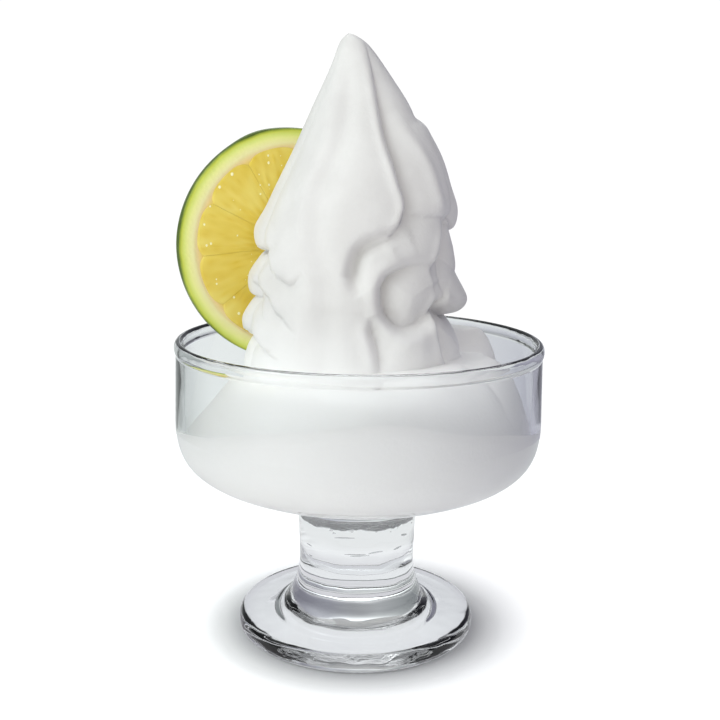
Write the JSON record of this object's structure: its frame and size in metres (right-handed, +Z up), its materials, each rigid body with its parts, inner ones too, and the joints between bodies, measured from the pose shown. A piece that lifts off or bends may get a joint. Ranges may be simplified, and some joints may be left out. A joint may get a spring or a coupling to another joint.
{
  "type": "sorbet cup",
  "caption": "Footed glass cup filled with white sorbet that is piped into a tall, ridged swirl, with a wheel of lime stood upright against its back",
  "frame": {"origin": "middle of the foot's underside, where the cup stands on the table", "axes": "+Z up along the cup's axis to the swirl's tip; -Y towards the viewer of the front; +X to the right, away from the lime"},
  "size_m": [0.0983, 0.0982, 0.1593],
  "materials": {
    "clear_glass": "clear pressed glass, smooth and glossy, with a few fine bubbles",
    "white_sorbet": "matte white frozen sorbet, fine grained, a little moist in the folds",
    "lime": "moist yellow-green citrus flesh with a pale pith and a green rind"
  },
  "bodies": {
    "root": {"glass_cup": "clear_glass", "sorbet": "white_sorbet", "lime_slice": "lime"}
  },
  "joints": []
}
